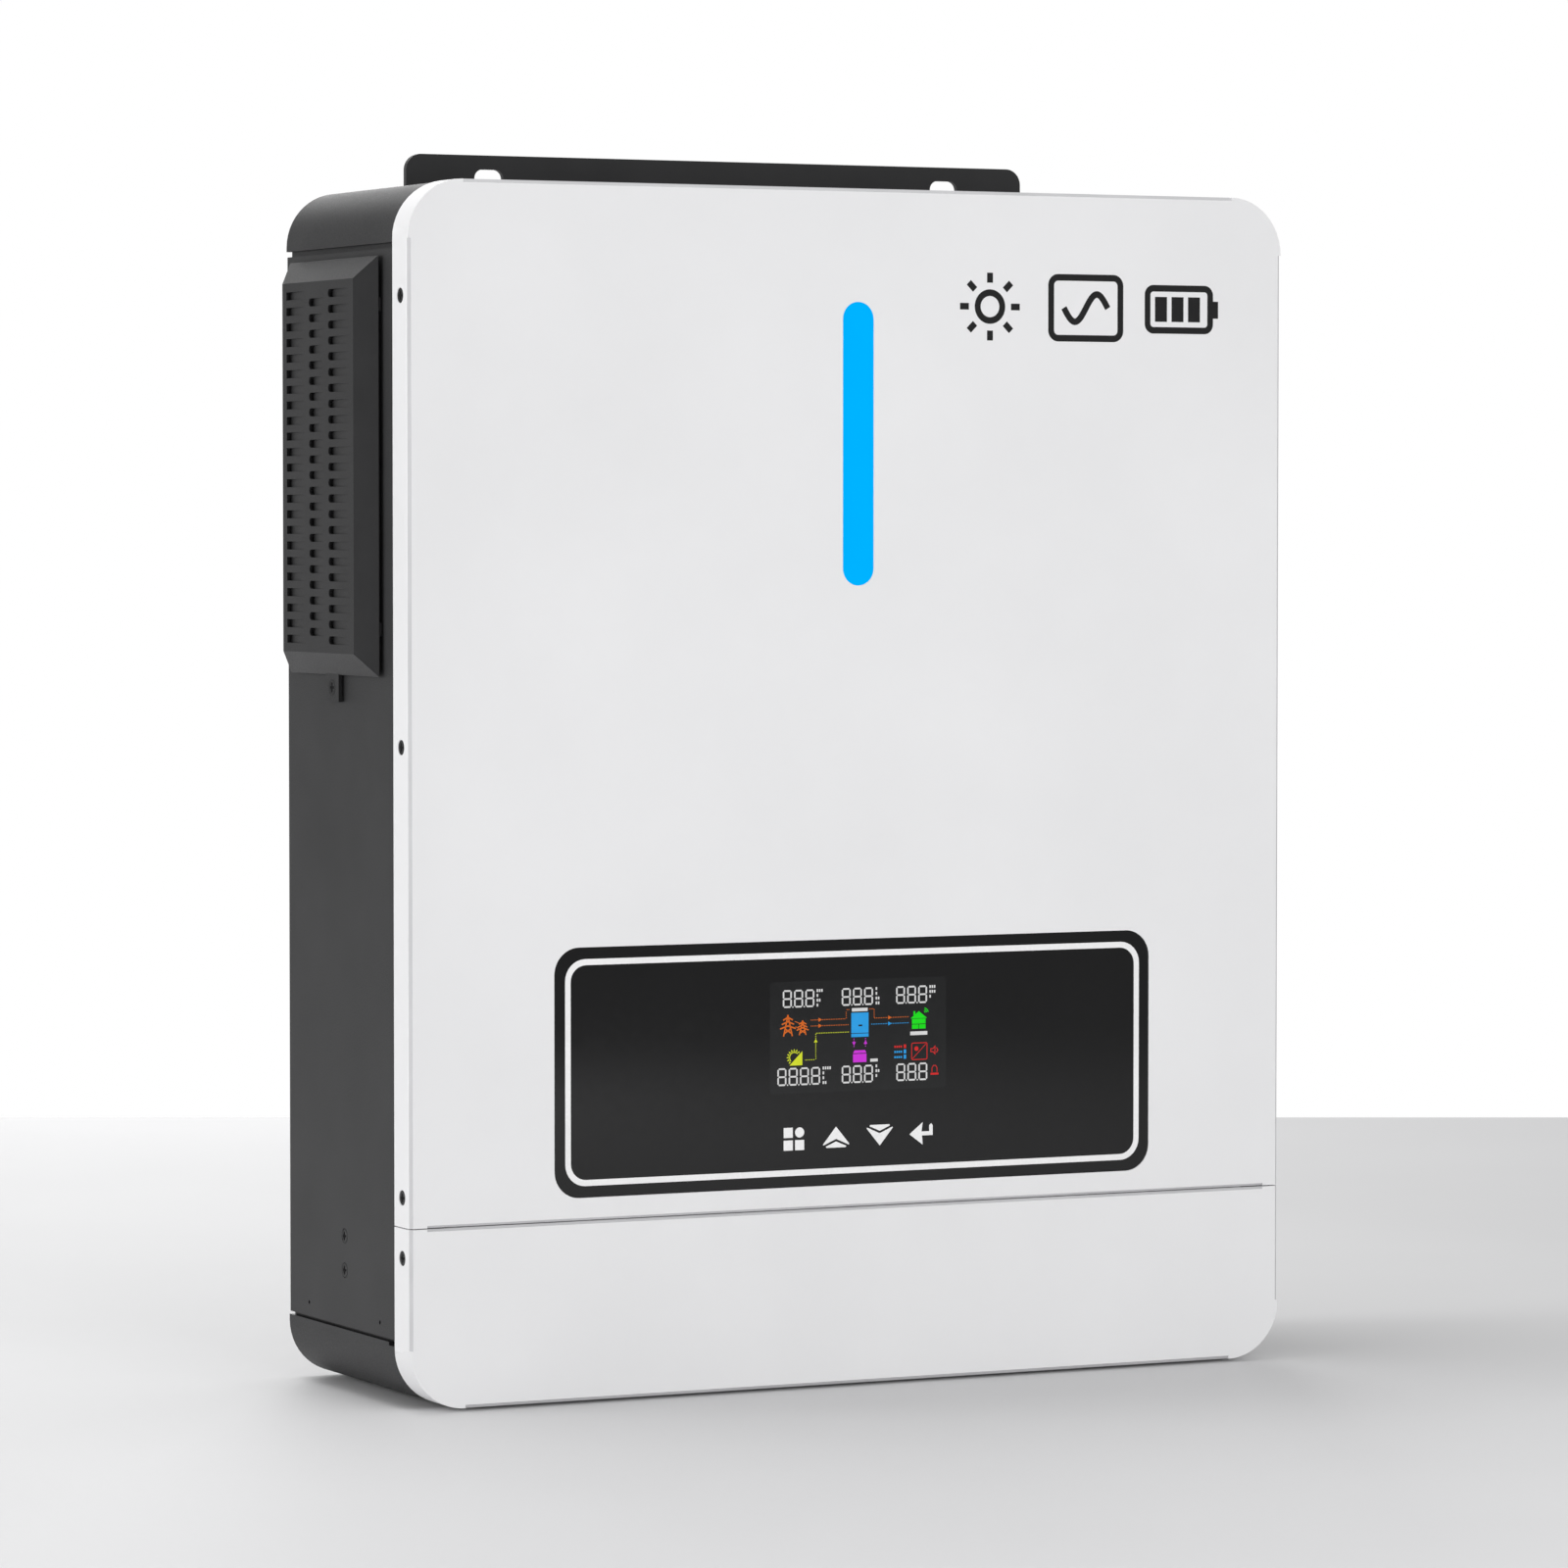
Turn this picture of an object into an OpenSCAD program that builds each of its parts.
// Wall-mounted hybrid solar inverter with a lift-off wiring cover and a pull-off dust filter.
// X runs to the right seen from the front, Y to the back and Z up.
// The origin is on the base, half way across the width and half way through the depth.

/* [Casing] */
// Width of the white front cover
cover_w = 292; // [288:1:296]
// Height of the white front cover
cover_h = 358; // [356:1:362]
// Depth from the cover's face to the back plate's rear face
body_d = 95; // [95:1:99]
// Outside radius of the cover's corners
corner_r = 17.5; // [15:0.5:18]
// Depth of the flange that the covers turn back over the sides
flange_d = 11.6; // [11:0.1:13]
// Thickness of the covers' sheet
cover_t = 1.0; // [0.9:0.1:1.2]
// Thickness of the chassis sheet
sheet_t = 1.4; // [1.2:0.1:1.5]
// Width of the chamfer along the covers' straight edges
edge_chamfer = 1.0; // [0.6:0.1:1.1]
// Height of the joint between the front cover and the wiring cover
split_z = 53.1; // [52:0.1:54]
// Height of the side panels' lower edge above the base
panel_end = 19.3; // [19:0.1:20]

/* [Wall bracket] */
// Width of the bracket plate
bracket_w = 212; // [200:1:220]
// Height of the bracket's top edge above the base
bracket_top = 370.5; // [369:0.5:374]
// Thickness of the bracket plate
bracket_t = 2.0; // [1.5:0.1:3]
// Distance between the two hanging slots
slot_spacing = 157; // [140:1:170]
// Length of each hanging slot, end to end
slot_len = 9.7; // [8:0.1:10]
// Width of each hanging slot
slot_w = 5.5; // [5:0.1:6]
// Diameter of the lower wall fixing hole in the back plate
wall_hole_d = 5.5; // [5:0.1:6]

/* [Display] */
// Width of the display window
window_w = 199.8; // [190:0.2:204]
// Height of the display window
window_h = 73.8; // [71:0.1:74]
// Height of the window's lower edge above the base
window_z = 59.9; // [59:0.1:62]
// Corner radius of the display window
window_r = 8; // [6:0.5:10]
// Width of the light bar
bar_w = 10.1; // [8:0.1:11]
// Height of the light bar's lower end
bar_z = 239.6; // [230:0.1:245]
// Length of the light bar, end to end
bar_len = 84.5; // [70:0.5:90]

/* [Ventilation] */
// Size across the square fans
fan_size = 60; // [58:0.5:60]
// Depth of a fan
fan_d = 25; // [20:1:26]
// How far the dust cover stands out from the side panel
vent_out = 6.6; // [6:0.1:8]
// Width of the sloped border around the dust cover's face
vent_slope = 6.6; // [6:0.1:7]
// Rows of louvres in the dust cover's outer columns
louvre_rows = 23; // [20:1:23]
// Distance from one louvre to the next
louvre_pitch = 4.65; // [4.5:0.05:4.65]

/* [Connections] */
// Depth of the recess for the connections in the base
recess_d = 9; // [8.8:0.1:9.4]
// Diameter of the hole through each cable grommet
cable_d = 14; // [10:0.5:15]
// Tilt of the power rocker at rest
rocker_tilt = 8; // [5:1:8]
// Poles on the alternating current terminal block
ac_poles = 6; // [3:1:6]

/* [Hidden] */
$fn = 48;

black = "#3a3a3c";
white = "#e4e4e6";
board_green = "#1d5a38";
steel = "#b9bcc0";
copper = "#b8763c";

// Joint between the covers: length of its chamfers and of the edges turned back behind it
groove_x = 140.5;
groove_chamfer = 0.75;
return_x = 133.5;
return_d = 8;

// Casing planes
half_w = cover_w / 2;
y_front = -body_d / 2;
y_back = body_d / 2;
fit = 0.3;
panel_x = half_w - 1.1;
shell_x = panel_x + 0.3;
flange_y = y_front + flange_d;
shell_y = flange_y + fit;
chassis_y = y_front + cover_t + 0.4;
tuck = cover_t + fit;
tuck_x = half_w - tuck;
shell_r = corner_r - 0.8;
shell_top = cover_h - 0.3;
inner_x = panel_x - sheet_t;
plate_x = inner_x - 0.1;
// Side panels step in under the cover's flange
step_x = inner_x + 0.3;
step_y = flange_y + 2.6;
plate_y = y_back - sheet_t;
bracket_z = 298;
bracket_r = 5;
slot_z = bracket_top - 7.05;
lip_w = 10;
// Gaps between the side panels and the bottom and top shells
seam = 0.9;
top_seam = 1.6;
tongue_len = 3.6;
tongue_y0 = -29.8;
tongue_y1 = plate_y - 0.1;
notch_h = 1.0;
panel_z0 = panel_end;
panel_z1 = cover_h - panel_end - 0.5;
shell_z0 = panel_z0 - seam;
shell_z1 = panel_z1 + top_seam;

// Cover screws, from the top down; the lowest one on each side holds the wiring cover
cover_screw_y = y_front + 5.7;
front_screw_z = [cover_h - 33.9, cover_h / 2 + 14.1, split_z + 8.8];
wiring_screw_z = split_z - 8.9;
screw_head_r = 2.25;
screw_r = 1.45;

// Side panel screws that hold the terminal rail's ends
rail_screw_y = 4.6;
rail_screw_z = [36.0, 46.2];

// Fans and the dust cover over them
vent_y0 = -26.1;
vent_y1 = 42.0;
vent_z0 = 213.2;
vent_z1 = vent_z0 + 123.1;
vent_x = -panel_x - vent_out;
vent_base_x = -panel_x - 1.3;
vent_wall = 1.2;
fan_y = (vent_y0 + vent_y1) / 2;
fan_z_mid = (vent_z0 + vent_z1) / 2;
fan_z = [fan_z_mid - fan_size / 2 - 0.4, fan_z_mid + fan_size / 2 + 0.4];
fan_hole = 25;
rotor_r = 27.8;
// Louvre columns: where the ramp starts, where the slot starts, whether the slot's end is round
louvres = [[-16.5, -1.7, true], [3.0, 13.2, true], [18.0, 30.9, false]];
louvre_w = 1.3;
louvre_h = 2.4;
louvre_depth = 1.2;
louvre_top = vent_z1 - 10.4;
tab_x = -panel_x - 1.6;
tab_y = 9.25;
tab_half = 4.95;
tab_screw_z = vent_z0 - 3.8;

// Connection recess in the base
recess_z = recess_d + 1.2;
tray_x = 127;
tray_y0 = -31;
tray_y1 = 42;
window_x0 = 10;
window_x1 = 125;
grommet_y = -14;
grommet_x = [-62, -34, 30, 61, 92];
grommet_r = 9.9;
rocker_x = -112;
rocker_y = -15.5;
rocker_z = 13;
breaker_x = -88;
breaker_y = -14;
port_x = 114;
rj45_y = [-17, 1];
usb_y = 19.5;
earth_x = -116;
earth_y = 26;

// Terminal rail and blocks
rail_y = 12;
rail_z0 = 31;
rail_z1 = 51;
pole_pitch = 10;
ac_x = 16;
pv_x = 84;
pv_poles = 2;
block_z0 = 33;
block_z1 = 50;
battery_x = [-56, -28];

// Boards
partition_z = 56;
partition_x = step_x - sheet_t - 0.1;
board_y = 33;
board_t = 1.6;
board_x0 = -112;
board_x1 = 136;
board_z0 = 62;
board_z1 = 346;
control_y = -25;
// Centres of the transformers and the inductors, as x and z
transformer_places = [[-72, 178], [-14, 178]];
inductor_places = [[-78, 112], [-20, 112], [58, 176]];
heatsink_z = [226, 298];

// Display
display_y = y_front + 2.2;
key_x = [-21.5, -7.4, 7.3, 21.3];
key_z = window_z + 14.8;

module block(x0, x1, y0, y1, z0, z1) {
    translate([x0, y0, z0]) cube([x1 - x0, y1 - y0, z1 - z0]);
}

// Rectangle with round corners made of true arcs
module rounded(x0, x1, y0, y1, r) {
    translate([x0 + r, y0]) square([x1 - x0 - 2 * r, y1 - y0]);
    translate([x0, y0 + r]) square([x1 - x0, y1 - y0 - 2 * r]);
    for (x = [x0 + r, x1 - r], y = [y0 + r, y1 - r])
        translate([x, y]) circle(r);
}

// Rounded rectangle seen from the front, carried from y0 to y1
module slab(x0, x1, z0, z1, y0, y1, r) {
    translate([0, y1, 0]) rotate([90, 0, 0]) linear_extrude(y1 - y0) rounded(x0, x1, z0, z1, r);
}

module rod_x(x0, x1, y, z, r) {
    translate([x0, y, z]) rotate([0, 90, 0]) cylinder(h = x1 - x0, r = r);
}

module rod_y(y0, y1, x, z, r) {
    translate([x, y1, z]) rotate([90, 0, 0]) cylinder(h = y1 - y0, r = r);
}

module rod_z(z0, z1, x, y, r) {
    translate([x, y, z0]) cylinder(h = z1 - z0, r = r);
}

module both_sides() {
    for (side = [0, 1])
        mirror([side, 0, 0]) children();
}

// A screw with a countersunk head whose face is at the origin and whose shank runs down -Z
module countersunk_screw(head_r, shank_r, head_h, length) {
    translate([0, 0, -head_h]) cylinder(h = head_h, r1 = shank_r, r2 = head_r);
    translate([0, 0, -length]) cylinder(h = length - head_h / 2, r = shank_r);
}

// The hole that such a screw sits in, slightly larger all round
module countersunk_hole(head_r, shank_r, head_h, length) {
    translate([0, 0, -head_h]) cylinder(h = head_h + 0.01, r1 = shank_r, r2 = head_r);
    translate([0, 0, -length]) cylinder(h = length, r = shank_r);
}

// ---------- casing ----------

// Solid envelope of the top and bottom shells: full size behind the cover's flange, tucked in under it
module shell_envelope(inset) {
    slab(-shell_x + inset, shell_x - inset, inset, shell_top - inset,
         shell_y + inset, y_back + (inset > 0 ? 1 : 0), shell_r - inset);
    slab(-tuck_x + inset, tuck_x - inset, tuck + inset, cover_h - tuck - inset,
         chassis_y - (inset > 0 ? 1 : 0), shell_y + 2 * sheet_t, shell_r - inset);
}

// Inward lip around the front or the back of the shells
module shell_lip(y0) {
    difference() {
        slab(-tuck_x + fit, tuck_x - fit, tuck + fit, cover_h - tuck - fit,
             y0, y0 + sheet_t, shell_r - fit);
        slab(-tuck_x + lip_w, tuck_x - lip_w, tuck + lip_w, cover_h - tuck - lip_w,
             y0 - 1, y0 + sheet_t + 1, shell_r - lip_w);
    }
}

// Folded skin with its lips, over the whole height
module shell_skin() {
    difference() {
        shell_envelope(0);
        shell_envelope(sheet_t);
    }
    shell_lip(chassis_y);
    shell_lip(plate_y - sheet_t - 0.05);
}

// Tongues that reach behind the side panels, growing from the shell's edge at height z
module shell_tongues(z, direction) {
    tongue_x = inner_x - 0.1;
    root_z = z - direction * sheet_t;
    tip_z = z + direction * tongue_len;
    both_sides() {
        block(-shell_x + sheet_t / 2, -tongue_x + sheet_t, tongue_y0, tongue_y1,
              min(z, root_z), max(z, root_z));
        block(-tongue_x, -tongue_x + sheet_t, tongue_y0, tongue_y1,
              min(root_z, tip_z), max(root_z, tip_z));
    }
}

module back_screw_places(z_list) {
    for (x = [-120, 0, 120], z = z_list)
        translate([x, y_back, z]) rotate([-90, 0, 0]) children();
}

module top_shell() {
    color(black) {
        difference() {
            intersection() {
                shell_skin();
                block(-200, 200, -100, 100, shell_z1, 400);
            }
            back_screw_places([cover_h - 7]) countersunk_hole(3, 1.5, 1.2, 6);
        }
        shell_tongues(shell_z1, -1);
    }
}

module bottom_shell() {
    color(black) {
        difference() {
            intersection() {
                shell_skin();
                block(-200, 200, -100, 100, -10, shell_z0);
            }
            both_sides() block(-window_x1, -window_x0, tray_y0 + 2, tray_y1 - 2, -1, sheet_t + 1);
            back_screw_places([7]) countersunk_hole(3, 1.5, 1.2, 6);
            // Notch behind the cover's flange
            both_sides() block(-shell_x - 1, -shell_x + 3, shell_y - 0.2, tongue_y0,
                               shell_z0 - notch_h, shell_z0 + 1);
        }
        shell_tongues(shell_z0, 1);
    }
}

module back_plate() {
    color(black)
    difference() {
        slab(-plate_x, plate_x, 1.6, shell_top - 1.6, plate_y, y_back, shell_r - sheet_t);
        back_screw_places([7, cover_h - 7]) countersunk_hole(3, 1.5, 1.2, 6);
        back_side_screw_places() countersunk_hole(3, 1.5, 1.2, 6);
        bracket_screw_places() translate([0, 0, -6]) cylinder(h = 12, r = 2.05);
        board_places() translate([0, 0, -1]) cylinder(h = 20, r = 1.5);
        rod_y(plate_y - 1, y_back + 1, 0, 24, wall_hole_d / 2);
    }
}

module back_side_screw_places() {
    for (x = [-138, 138], z = [60, 180, 300])
        translate([x, y_back, z]) rotate([-90, 0, 0]) children();
}

module back_screws() {
    color(steel) {
        back_screw_places([7, cover_h - 7]) countersunk_screw(2.9, 1.4, 1.2, 5);
        back_side_screw_places() countersunk_screw(2.9, 1.4, 1.2, 5);
    }
}

module bracket_screw_places() {
    for (x = [-92, 92], z = [308, 334])
        translate([x, y_back, z]) rotate([-90, 0, 0]) children();
}

module wall_bracket() {
    color(black)
    difference() {
        slab(-bracket_w / 2, bracket_w / 2, bracket_z, bracket_top, y_back, y_back + bracket_t, bracket_r);
        for (x = [-slot_spacing / 2, slot_spacing / 2])
            slab(x - slot_len / 2, x + slot_len / 2, slot_z - slot_w / 2, slot_z + slot_w / 2,
                 y_back - 1, y_back + bracket_t + 1, slot_w / 2 - 0.001);
        bracket_screw_places() translate([0, 0, bracket_t]) countersunk_hole(4, 2.05, 1.8, 12);
    }
}

module bracket_screws() {
    color(steel)
    bracket_screw_places() {
        translate([0, 0, bracket_t]) countersunk_screw(3.9, 2.0, 1.8, 7);
        translate([0, 0, -sheet_t - 3]) difference() {
            cylinder(h = 2.95, r = 4, $fn = 6);
            translate([0, 0, -1]) cylinder(h = 5, r = 2.0);
        }
    }
}

// Plain side panel on the left: it steps in under the flange, and has a front lip and a rear flange
module side_sheet() {
    block(-panel_x, -inner_x, step_y, y_back, panel_z0, panel_z1);
    block(-step_x, -step_x + sheet_t, chassis_y, step_y + sheet_t, panel_z0, panel_z1);
    block(-step_x + sheet_t - 0.1, -tuck_x + lip_w, chassis_y, chassis_y + sheet_t, panel_z0, panel_z1);
    block(-inner_x - 0.1, -panel_x + lip_w + 2, plate_y - sheet_t - 0.05, plate_y - 0.05,
          panel_z0 + 12, panel_z1 - 12);
}

module side_sheet_holes() {
    for (z = front_screw_z)
        rod_x(-panel_x - 2, -130, cover_screw_y, z, 1.5);
    // Slot that is open to the front, so that the wiring cover's screws can leave with it
    block(-panel_x - 2, -130, chassis_y - 1, cover_screw_y, wiring_screw_z - 1.85, wiring_screw_z + 1.85);
    rod_x(-panel_x - 2, -130, cover_screw_y, wiring_screw_z, 1.85);
    for (z = rail_screw_z)
        translate([-panel_x, rail_screw_y, z]) rotate([0, -90, 0]) countersunk_hole(2.3, 1.5, 1.0, 6);
    for (z = [60, 180, 300])
        rod_y(plate_y - 4, plate_y + 1, -138, z, 1.5);
}

module left_side_panel() {
    color(black)
    difference() {
        side_sheet();
        side_sheet_holes();
        // Air inlet slots in front of the fans
        for (x = [-1, 1], row = [0 : 16])
            translate([-panel_x - 1, fan_y + x * 13.5 - 12, vent_z0 + 5.6 + row * 6.6]) cube([4, 24, 4]);
        for (z = fan_z, dy = [-fan_hole, fan_hole], dz = [-fan_hole, fan_hole])
            rod_x(-panel_x - 1, -inner_x + 1, fan_y + dy, z + dz, 2.1);
        rod_x(-panel_x - 1, -inner_x + 1, tab_y, tab_screw_z, 1.8);
        rod_x(-panel_x - 1, -inner_x + 1, -22.3, 23.3, 0.6);
        rod_x(-panel_x - 1, -inner_x + 1, 32.5, 23.5, 0.6);
    }
}

module right_side_panel() {
    color(black)
    mirror([1, 0, 0])
    difference() {
        side_sheet();
        side_sheet_holes();
        // Air outlet slots
        for (column = [0 : 2], row = [0 : 20])
            translate([-panel_x - 1, -24 + column * 22, 216 + row * 5.6]) cube([4, 18, 3]);
    }
}

module side_panel_screws() {
    color(black)
    both_sides() for (z = rail_screw_z)
        translate([-panel_x, rail_screw_y, z]) rotate([0, -90, 0]) countersunk_screw(2.25, 1.45, 1.0, 5);
}

// Bar standing on its corner along X, which cuts a chamfer off an edge
module chamfer_x(x1, z, leg) {
    translate([0, y_front, z]) rotate([45, 0, 0])
        cube([2 * x1, leg * sqrt(2), leg * sqrt(2)], center = true);
}

// The same along Z, on the cover's side edge
module chamfer_side(leg) {
    translate([-half_w, y_front, cover_h / 2]) rotate([0, 0, 45])
        cube([leg * sqrt(2), leg * sqrt(2), cover_h - 2 * corner_r], center = true);
}

// Cover pan between two heights: the face with a flange turned back all round and along the joint
module cover_pan(z0, z1, joint_z, return_z) {
    difference() {
        union() {
            intersection() {
                difference() {
                    slab(-half_w, half_w, 0, cover_h, y_front, flange_y, corner_r);
                    slab(-half_w + cover_t, half_w - cover_t, cover_t, cover_h - cover_t,
                         y_front + cover_t, flange_y + 1, corner_r - cover_t);
                }
                block(-200, 200, -100, 0, z0, z1);
            }
            block(-return_x, return_x, y_front + cover_t / 2, y_front + return_d,
                  return_z, return_z + cover_t);
        }
        // Chamfers along the straight edges only
        both_sides() chamfer_side(edge_chamfer);
        for (z = [0, cover_h])
            chamfer_x(half_w - corner_r, z, edge_chamfer);
        chamfer_x(groove_x, joint_z, groove_chamfer);
    }
}

module cover_screw_places(z_list) {
    both_sides() for (z = z_list)
        translate([-half_w + 0.15, cover_screw_y, z]) rotate([0, -90, 0]) children();
}

module front_cover() {
    color(white)
    difference() {
        cover_pan(split_z + fit / 2, cover_h + 1, split_z + fit / 2, split_z + fit / 2);
        cover_screw_places(front_screw_z) {
            cylinder(h = 1, r = screw_head_r + 0.05);
            countersunk_hole(screw_head_r + 0.05, screw_r + 0.05, 0.8, 3);
        }
        slab(-window_w / 2, window_w / 2, window_z, window_z + window_h, y_front - 1, y_front + 3, window_r);
        slab(-bar_w / 2 - 0.1, bar_w / 2 + 0.1, bar_z - 0.1, bar_z + bar_len + 0.1,
             y_front - 1, y_front + 3, bar_w / 2 + 0.099);
    }
}

module front_cover_screws() {
    color(black)
    cover_screw_places(front_screw_z) countersunk_screw(screw_head_r, screw_r, 0.8, 7);
}

module wiring_cover() {
    color(white)
    difference() {
        cover_pan(-1, split_z - fit / 2, split_z - fit / 2, split_z - fit / 2 - cover_t);
        cover_screw_places([wiring_screw_z]) {
            cylinder(h = 1, r = screw_head_r + 0.05);
            countersunk_hole(screw_head_r + 0.05, screw_r + 0.05, 0.8, 3);
        }
    }
}

module wiring_cover_screws() {
    color(black)
    cover_screw_places([wiring_screw_z]) countersunk_screw(screw_head_r, screw_r, 0.8, 7);
}

// ---------- display ----------

module display_window() {
    color("#141416") {
        slab(-window_w / 2 + 0.1, window_w / 2 - 0.1, window_z + 0.1, window_z + window_h - 0.1,
             y_front, y_front + cover_t + 0.2, window_r - 0.1);
        slab(-window_w / 2 - 2.5, window_w / 2 + 2.5, window_z - 2.5, window_z + window_h + 2.5,
             y_front + cover_t, display_y, window_r + 2.5);
    }
}

module lcd_module() {
    color("#2a2d31") {
        block(-33, 33, display_y, display_y + 5.5, 84, 125.5);
        for (x = [-34.5, 34.5], z = [88, 121.5])
            block(x - 1.6, x + 1.6, display_y + 4, display_y + 5.5, z - 3, z + 3);
    }
}

module touch_board() {
    color(board_green) {
        difference() {
            block(-88, 88, display_y + 5.6, display_y + 7.2, 64, 131);
            for (x = [-82, 82], z = [69, 126])
                rod_y(display_y + 5, display_y + 8, x, z, 1.6);
        }
        for (x = [-82, 82], z = [69, 126])
            rod_y(display_y, display_y + 9, x, z, 1.5);
    }
}

module touch_springs() {
    color(steel)
    for (x = key_x)
        difference() {
            rod_y(display_y, display_y + 5.6, x, key_z, 4.5);
            rod_y(display_y - 1, display_y + 6, x, key_z, 3.6);
        }
}

module led_light_guide() {
    color("#00b2ff") {
        slab(-bar_w / 2, bar_w / 2, bar_z, bar_z + bar_len,
             y_front, y_front + cover_t + 0.2, bar_w / 2 - 0.001);
        slab(-bar_w / 2 - 2, bar_w / 2 + 2, bar_z - 2, bar_z + bar_len + 2,
             y_front + cover_t, y_front + cover_t + 2.5, bar_w / 2 + 1.999);
    }
}

module led_board() {
    color(board_green)
    block(-8, 8, y_front + 5, y_front + 6.6, bar_z - 6, bar_z + bar_len + 6);
    color(white)
    for (z = [bar_z + 6 : 12 : bar_z + bar_len])
        block(-2.5, 2.5, y_front + 3.55, y_front + 5, z - 2.5, z + 2.5);
}

// Flat cable from the touch board up to the control board
module display_ribbon() {
    color("#c9c9cc")
    translate([-12, 0, 0]) rotate([90, 0, 90]) linear_extrude(24)
        polygon([[-38.0, 126], [-33, 126], [-28.5, 140], [-28.5, 156], [control_y - 0.1, 156],
                 [control_y - 0.1, 157], [-29.5, 157], [-29.5, 140.4], [-33.8, 127], [-38.0, 127]]);
}

// ---------- wiring compartment ----------

module partition_plate() {
    color(steel)
    difference() {
        block(-partition_x, partition_x, chassis_y + sheet_t + 0.1, plate_y - sheet_t - 0.15,
              partition_z, partition_z + 1.2);
        for (x = [-70, -36, 24, 60, 96])
            block(x, x + 28, 16, 28, partition_z - 1, partition_z + 3);
    }
}

module connection_panel() {
    color(black)
    difference() {
        block(-tray_x, tray_x, tray_y0, tray_y1, sheet_t, recess_z);
        block(-tray_x + 1.2, tray_x - 1.2, tray_y0 + 1.2, tray_y1 - 1.2, 0, recess_d);
        for (x = grommet_x)
            rod_z(0, 20, x, grommet_y, grommet_r + 0.05);
        block(rocker_x - 9.1, rocker_x + 9.1, rocker_y - 6.1, rocker_y + 6.1, 0, 20);
        rod_z(0, 20, breaker_x, breaker_y, 5.7);
        for (y = rj45_y)
            block(port_x - 8.1, port_x + 8.1, y - 6.8, y + 6.8, 0, 20);
        block(port_x - 6.2, port_x + 6.2, usb_y - 5.8, usb_y + 5.8, 0, 20);
        rod_z(0, 20, earth_x, earth_y, 2.55);
    }
}

module terminal_rail() {
    color(steel)
    difference() {
        union() {
            block(-plate_x, plate_x, rail_y, rail_y + 1.4, rail_z0, rail_z1);
            both_sides() block(-plate_x, -plate_x + 1.4, 0, rail_y + 1.4, rail_z0, rail_z1);
        }
        both_sides() for (z = rail_screw_z)
            rod_x(-plate_x - 1, -plate_x + 3, rail_screw_y, z, 1.5);
    }
}

// Barrier block with one upright wall between neighbouring poles
module barrier_block(x0, poles) {
    block(x0, x0 + poles * pole_pitch + 1.6, 0, rail_y, block_z0, block_z1);
    for (i = [0 : poles])
        block(x0 + i * pole_pitch, x0 + i * pole_pitch + 1.6, -7, 0.1, block_z0, block_z1);
}

module ac_terminal_block() {
    color("#1c1c1e") barrier_block(ac_x, ac_poles);
}

module pv_terminal_block() {
    color("#1c1c1e") barrier_block(pv_x, pv_poles);
}

module terminal_screws() {
    color(steel)
    for (x = concat([for (i = [0 : ac_poles - 1]) ac_x + 5.8 + i * pole_pitch],
                    [for (i = [0 : pv_poles - 1]) pv_x + 5.8 + i * pole_pitch]))
        difference() {
            rod_y(-2, 0, x, (block_z0 + block_z1) / 2, 3);
            block(x - 4, x + 4, -3, -1.2, (block_z0 + block_z1) / 2 - 0.4, (block_z0 + block_z1) / 2 + 0.4);
        }
}

module battery_terminal_base() {
    color("#7a1f1f")
    block(-72, -12, 3, rail_y, block_z0, block_z1);
}

module battery_terminals() {
    color(copper)
    for (x = battery_x)
        block(x - 11, x + 11, 0, 3, block_z0, block_z1);
}

module battery_bolts() {
    color(steel)
    for (x = battery_x)
        translate([x, 0, (block_z0 + block_z1) / 2]) rotate([90, 0, 0]) {
            cylinder(h = 4, r = 5.5, $fn = 6);
            translate([0, 0, 4]) cylinder(h = 4, r = 3);
        }
}

module cable_grommets() {
    color("#202022")
    for (x = grommet_x)
        translate([x, grommet_y, 0]) difference() {
            union() {
                rod_z(recess_d - 1.4, recess_z + 1.4, 0, 0, grommet_r);
                rod_z(recess_d - 1.4, recess_d, 0, 0, grommet_r + 2.2);
                rod_z(recess_z, recess_z + 1.4, 0, 0, grommet_r + 2.2);
            }
            rod_z(0, 30, 0, 0, cable_d / 2);
        }
}

module rocker_housing() {
    color("#1a1a1c")
    difference() {
        union() {
            block(rocker_x - 11, rocker_x + 11, rocker_y - 7.5, rocker_y + 7.5, recess_d - 1.2, recess_d);
            block(rocker_x - 9, rocker_x + 9, rocker_y - 6, rocker_y + 6, recess_d - 0.1, 28);
        }
        block(rocker_x - 7.6, rocker_x + 7.6, rocker_y - 4.5, rocker_y + 4.5, 0, 20);
        rod_y(rocker_y - 5.6, rocker_y + 5.6, rocker_x, rocker_z, 1.06);
    }
}

// Rocker lying with its left end pressed in
module power_rocker() {
    color("#b01818")
    translate([rocker_x, rocker_y, rocker_z]) rotate([0, rocker_tilt, 0]) {
        translate([0, 4.1, 0]) rotate([90, 0, 0]) linear_extrude(8.2)
            polygon([[-5, 3], [-6.2, -5.6], [-5.8, -6.4], [0, -5.2], [5.8, -6.4], [6.2, -5.6], [5, 3]]);
        rod_y(-5.4, 5.4, 0, 0, 1.0);
    }
}

module breaker_housing() {
    color("#1a1a1c")
    translate([breaker_x, breaker_y, 0]) difference() {
        union() {
            rod_z(recess_z, 30, 0, 0, 8);
            rod_z(recess_d - 2.4, recess_z + 0.1, 0, 0, 5.6);
            translate([0, 0, recess_d - 2.4]) cylinder(h = 2.4, r = 8, $fn = 6);
        }
        rod_z(0, 14.5, 0, 0, 3.3);
        rod_z(14.5, 24, 0, 0, 5.4);
    }
}

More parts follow.
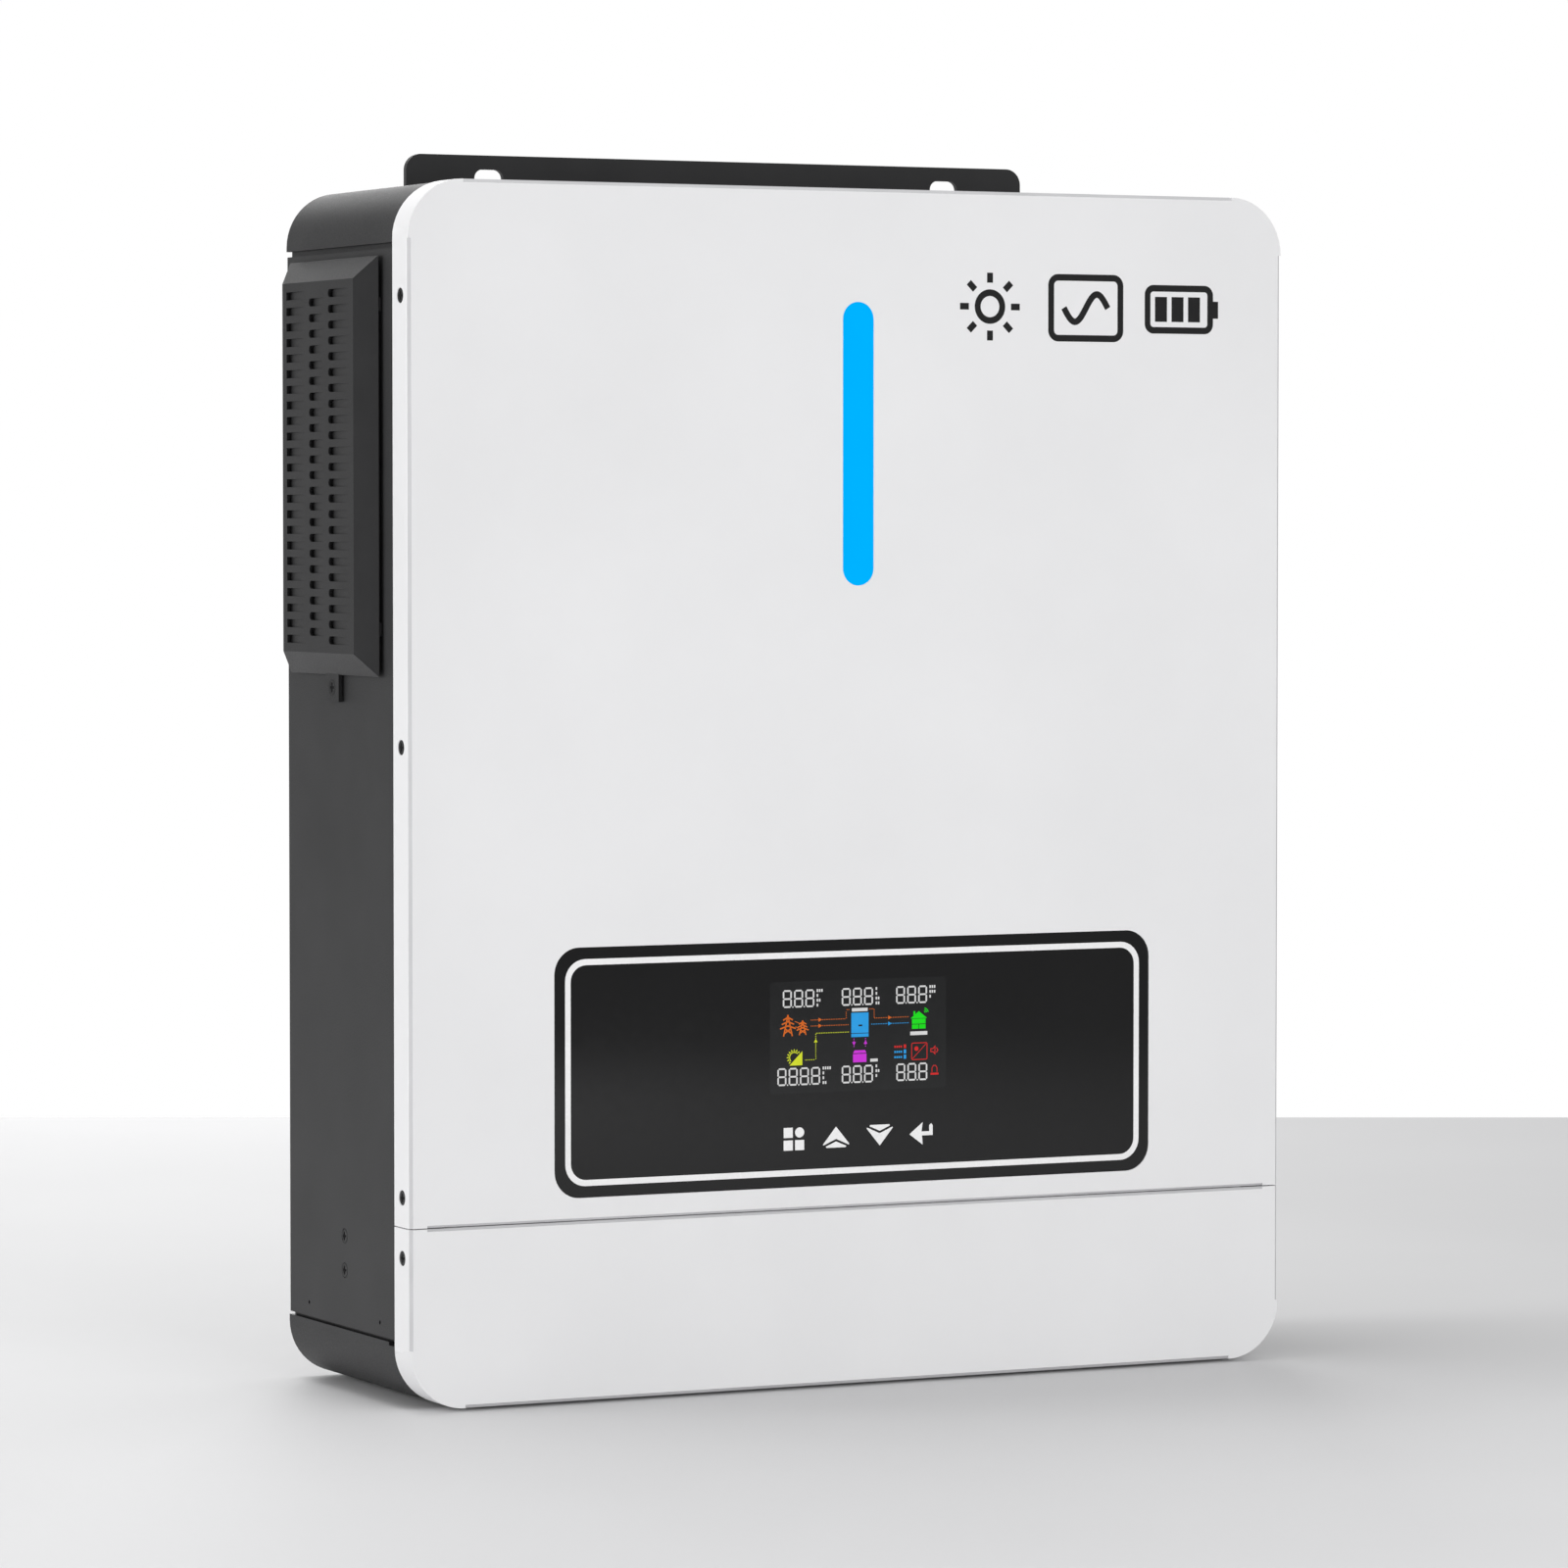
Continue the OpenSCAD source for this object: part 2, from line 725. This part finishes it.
module breaker_button() {
    color("#d8d8d8")
    translate([breaker_x, breaker_y, 0]) {
        rod_z(3.2, 16, 0, 0, 3.0);
        rod_z(15, 17, 0, 0, 5.0);
        rod_z(17, 20, 0, 0, 2.0);
    }
}

module comm_board() {
    color(board_green)
    block(port_x - 12, port_x + 12, -27, 29, 27, 28.6);
}

module data_ports() {
    color("#c4c6c8") {
        for (y = rj45_y)
            difference() {
                block(port_x - 8, port_x + 8, y - 6.7, y + 6.7, recess_d - 0.8, 27);
                block(port_x - 5.9, port_x + 5.9, y - 4.2, y + 4.2, 0, 22);
            }
        difference() {
            block(port_x - 6.1, port_x + 6.1, usb_y - 5.7, usb_y + 5.7, recess_d - 0.8, 27);
            block(port_x - 4.5, port_x + 4.5, usb_y - 4.2, usb_y + 4.2, 0, 20);
        }
    }
}

module earth_stud() {
    color("#c9b45a") {
        rod_z(2.2, 16, earth_x, earth_y, 2.5);
        translate([earth_x, earth_y, recess_d - 3.4]) difference() {
            cylinder(h = 3.4, r = 4.6, $fn = 6);
            translate([0, 0, -1]) cylinder(h = 6, r = 2.5);
        }
        translate([earth_x, earth_y, recess_z]) difference() {
            cylinder(h = 3.4, r = 4.6, $fn = 6);
            translate([0, 0, -1]) cylinder(h = 6, r = 2.5);
        }
    }
}

// ---------- power electronics ----------

module board_places() {
    for (x = [-104, 12, 128], z = [68, 204, 341])
        translate([x, board_y, z]) rotate([-90, 0, 0]) children();
}

module power_board() {
    color(board_green)
    difference() {
        block(board_x0, board_x1, board_y, board_y + board_t, board_z0, board_z1);
        board_places() translate([0, 0, -2]) cylinder(h = 6, r = 1.6);
    }
}

module board_standoffs() {
    color("#c9b45a")
    board_places() translate([0, 0, board_t]) difference() {
        cylinder(h = plate_y - board_y - board_t, r = 3.2, $fn = 6);
        translate([0, 0, -1]) cylinder(h = 7, r = 1.5);
    }
}

module board_screws() {
    color(steel)
    board_places() {
        translate([0, 0, -2]) cylinder(h = 2, r = 3);
        cylinder(h = 6, r = 1.45);
    }
}

// Extruded aluminium sink: a flat base with fins along the air flow
module heatsink(z) {
    color("#c8cacd") {
        block(-100, 70, -14, board_y, z, z + 5);
        for (i = [0 : 9])
            block(-100, 70, -14 + i * 5, -12.4 + i * 5, z + 4.9, z + 38);
    }
}

module heatsink_upper() {
    heatsink(heatsink_z[1]);
}

module heatsink_lower() {
    heatsink(heatsink_z[0]);
}

module power_transistors() {
    color("#17171a")
    for (z = heatsink_z, i = [0 : 6]) {
        block(-92 + i * 22, -76 + i * 22, 4, 24, z - 5.1, z - 0.05);
        for (lead = [-5, 0, 5])
            block(-84.6 + i * 22 + lead, -83.4 + i * 22 + lead, 23.9, board_y, z - 3, z - 2);
    }
}

module transformer_cores() {
    color("#3b3634")
    for (p = transformer_places)
        translate([p[0], 0, p[1]]) difference() {
            block(-25, 25, -12, 26, -21, 21);
            block(-17, -8, -13, 27, -14, 14);
            block(8, 17, -13, 27, -14, 14);
        }
}

module transformer_windings() {
    color("#c8952c")
    for (p = transformer_places)
        translate([p[0], 0, p[1]]) difference() {
            block(-16.9, 16.9, -16, board_y - 0.1, -13.9, 13.9);
            block(-8.1, 8.1, -12.1, 26.1, -15, 15);
        }
}

module inductor_cores() {
    color("#5d6a3a")
    for (p = inductor_places)
        difference() {
            rod_y(10, 28, p[0], p[1], 20);
            rod_y(9, 29, p[0], p[1], 10);
        }
}

module inductor_windings() {
    color(copper)
    for (p = inductor_places)
        difference() {
            rod_y(7, board_y - 0.1, p[0], p[1], 24);
            rod_y(9.9, 28.1, p[0], p[1], 20.1);
            rod_y(6, board_y + 1, p[0], p[1], 7);
            block(p[0] - 30, p[0] + 30, 0, 40, p[1] - 2, p[1] + 2);
        }
    color(copper)
    for (p = inductor_places)
        difference() {
            rod_y(9.8, 28.2, p[0], p[1], 9.9);
            rod_y(6, board_y + 1, p[0], p[1], 7);
            block(p[0] - 30, p[0] + 30, 0, 40, p[1] - 2, p[1] + 2);
        }
}

module bus_capacitors() {
    color("#20303f")
    for (x = [92, 120], z = [240, 268, 296])
        rod_y(-12, board_y, x, z, 12.5);
}

module battery_capacitors() {
    color("#2a2330")
    for (i = [0 : 4])
        rod_y(2, board_y, 14 + i * 20, 116, 8.5);
}

module relays() {
    color("#101d3a")
    for (i = [0 : 3])
        block(16 + i * 30, 35 + i * 30, 16, board_y, 72, 99);
}

module control_board() {
    color("#173f6b")
    block(-58, 82, control_y, control_y + board_t, 138, 218);
    color("#c9b45a")
    for (x = [-52, 76], z = [144, 212])
        rod_y(control_y + board_t, board_y, x, z, 2.5);
}

module control_chips() {
    color("#151517") {
        block(-6, 14, control_y - 1.6, control_y, 176, 196);
        block(30, 42, control_y - 1.6, control_y, 178, 190);
        block(-40, -26, control_y - 1.6, control_y, 190, 200);
        for (i = [0 : 3])
            block(-30 + i * 22, -16 + i * 22, control_y - 5, control_y, 206, 213);
    }
}

// ---------- ventilation ----------

// Fan parts are drawn with the air flowing along +Z from the mouth at z = 0
module fan_body() {
    difference() {
        linear_extrude(fan_d)
            rounded(-fan_size / 2, fan_size / 2, -fan_size / 2, fan_size / 2, 4);
        translate([0, 0, -1]) cylinder(h = fan_d + 2, r = rotor_r + 0.8);
        for (x = [-fan_hole, fan_hole], y = [-fan_hole, fan_hole])
            translate([x, y, -1]) cylinder(h = fan_d + 2, r = 2.05);
    }
    difference() {
        union() {
            for (a = [45 : 90 : 315])
                rotate([0, 0, a]) translate([0, -2, fan_d - 3]) cube([rotor_r + 1.5, 4, 3]);
            translate([0, 0, fan_d - 3]) cylinder(h = 3, r = 14);
            translate([0, 0, 6]) cylinder(h = fan_d - 6, r = 4);
            translate([0, 0, 8]) cylinder(h = fan_d - 11 - 0.1, r = 11);
            translate([0, 0, fan_d - 4]) cylinder(h = 2, r = 9);
        }
        cylinder(h = fan_d - 1, r = 1.55);
    }
}

module fan_wheel() {
    hub_h = fan_d - 8;
    difference() {
        translate([0, 0, 1.5]) cylinder(h = hub_h, r = 14);
        translate([0, 0, 3.2]) cylinder(h = hub_h, r = 12.4);
    }
    translate([0, 0, 2.5]) cylinder(h = fan_d - 5, r = 1.5);
    intersection() {
        difference() {
            translate([0, 0, 1.5]) cylinder(h = hub_h, r = rotor_r);
            cylinder(h = fan_d, r = 13.4);
        }
        for (i = [0 : 6])
            rotate([0, 0, i * 360 / 7]) translate([0, 0, 1.5 + hub_h / 2]) rotate([42, 0, 0])
                translate([10, -10, -0.7]) cube([rotor_r - 6, 20, 1.4]);
    }
}

module at_fan(i) {
    translate([-inner_x, fan_y, fan_z[i]]) rotate([0, 90, 0]) children();
}

module fan_frame_upper() {
    color("#1b1b1d") at_fan(1) fan_body();
}

module fan_frame_lower() {
    color("#1b1b1d") at_fan(0) fan_body();
}

module fan_rotor_upper() {
    color("#2a2a2d") at_fan(1) fan_wheel();
}

module fan_rotor_lower() {
    color("#2a2a2d") at_fan(0) fan_wheel();
}

module fan_screws() {
    color(black)
    for (z = fan_z, dy = [-fan_hole, fan_hole], dz = [-fan_hole, fan_hole]) {
        rod_x(-panel_x - 1.3, -panel_x, fan_y + dy, z + dz, 2.6);
        rod_x(-panel_x - 0.1, -inner_x + 14, fan_y + dy, z + dz, 2.0);
    }
}

// Block whose four sides lean in by run between x = xa and x = xb
module hipped(xa, xb, y0, y1, z0, z1, run) {
    intersection() {
        translate([0, 0, z0]) linear_extrude(z1 - z0)
            polygon([[xa, y0], [xb, y0 + run], [xb, y1 - run], [xa, y1]]);
        translate([0, y1, 0]) rotate([90, 0, 0]) linear_extrude(y1 - y0)
            polygon([[xa, z0], [xb, z0 + run], [xb, z1 - run], [xa, z1]]);
    }
}

// Ramp pressed in from the dust cover's face, ending in a slot
module louvre(ramp_y, slot_y, round_end, z) {
    slot_end = slot_y + louvre_w - (round_end ? louvre_h / 2 : 0);
    translate([0, 0, z - louvre_h / 2]) linear_extrude(louvre_h)
        polygon([[vent_x - 1, ramp_y], [vent_x, ramp_y], [vent_x + louvre_depth, slot_y],
                 [vent_x + 4, slot_y], [vent_x + 4, slot_end], [vent_x - 1, slot_end]]);
    if (round_end)
        intersection() {
            rod_x(vent_x - 1, vent_x + 4, slot_end, z, louvre_h / 2);
            block(vent_x - 2, vent_x + 5, slot_end - 0.01, slot_end + louvre_h, z - louvre_h, z + louvre_h);
        }
}

module tab_screw_place() {
    translate([tab_x, tab_y, tab_screw_z]) rotate([0, -90, 0]) children();
}

module vent_cover() {
    skirt = 1.5;
    wall = vent_wall;
    color(black)
    difference() {
        union() {
            hipped(vent_base_x, vent_x, vent_y0, vent_y1, vent_z0, vent_z1, vent_slope);
            block(vent_base_x - 0.1, -panel_x - fit, vent_y0 + skirt, vent_y1 - skirt,
                  vent_z0 + skirt, vent_z1 - skirt);
            block(tab_x, -panel_x - fit, tab_y - tab_half, tab_y + tab_half,
                  vent_z0 - 8, vent_z0 + skirt + 1);
            for (z = [vent_z0 + 14, vent_z1 - 14.3])
                block(vent_base_x, -panel_x - fit, vent_y0 + 0.3, vent_y0 + skirt + 1, z - 2, z + 2);
        }
        hipped(vent_base_x + 0.2, vent_x + wall, vent_y0 + skirt + wall, vent_y1 - skirt - wall,
               vent_z0 + skirt + wall, vent_z1 - skirt - wall, vent_slope - 2);
        block(vent_base_x, -panel_x + 1, vent_y0 + skirt + wall, vent_y1 - skirt - wall,
              vent_z0 + skirt + wall, vent_z1 - skirt - wall);
        tab_screw_place() countersunk_hole(2.5, 1.55, 1.0, 6);
        // The middle column has one louvre fewer and stands half a pitch lower
        for (column = [0 : 2], row = [0 : louvre_rows - (column == 1 ? 2 : 1)])
            louvre(louvres[column][0], louvres[column][1], louvres[column][2],
                   louvre_top - (row + (column == 1 ? 0.5 : 0)) * louvre_pitch);
    }
}

module vent_screw() {
    color(black)
    tab_screw_place() countersunk_screw(2.45, 1.5, 1.0, 6);
}

module dust_filter() {
    filter_x0 = vent_x + vent_wall + 0.1;
    filter_x1 = filter_x0 + 2.0;
    color("#4a4d50")
    difference() {
        block(filter_x0, filter_x1, vent_y0 + 9, vent_y1 - 9, vent_z0 + 9.4, vent_z1 - 9.4);
        for (y = [0 : 15.4 : 30.8], z = [0 : 16.9 : 84.5])
            block(filter_x0 + 0.6, filter_x1 + 1, vent_y0 + 11 + y, vent_y0 + 24.5 + y,
                  vent_z0 + 11.4 + z, vent_z0 + 26.8 + z);
    }
}

back_plate();
wall_bracket();
bracket_screws();
top_shell();
bottom_shell();
left_side_panel();
right_side_panel();
side_panel_screws();
back_screws();
front_cover();
front_cover_screws();
display_window();
lcd_module();
touch_board();
touch_springs();
led_light_guide();
led_board();
display_ribbon();
partition_plate();
connection_panel();
terminal_rail();
ac_terminal_block();
pv_terminal_block();
terminal_screws();
battery_terminal_base();
battery_terminals();
battery_bolts();
cable_grommets();
rocker_housing();
power_rocker();
breaker_housing();
breaker_button();
comm_board();
data_ports();
earth_stud();
power_board();
board_standoffs();
board_screws();
heatsink_upper();
heatsink_lower();
power_transistors();
transformer_cores();
transformer_windings();
inductor_cores();
inductor_windings();
bus_capacitors();
battery_capacitors();
relays();
control_board();
control_chips();
fan_frame_upper();
fan_frame_lower();
fan_rotor_upper();
fan_rotor_lower();
fan_screws();
wiring_cover();
wiring_cover_screws();
vent_cover();
dust_filter();
vent_screw();
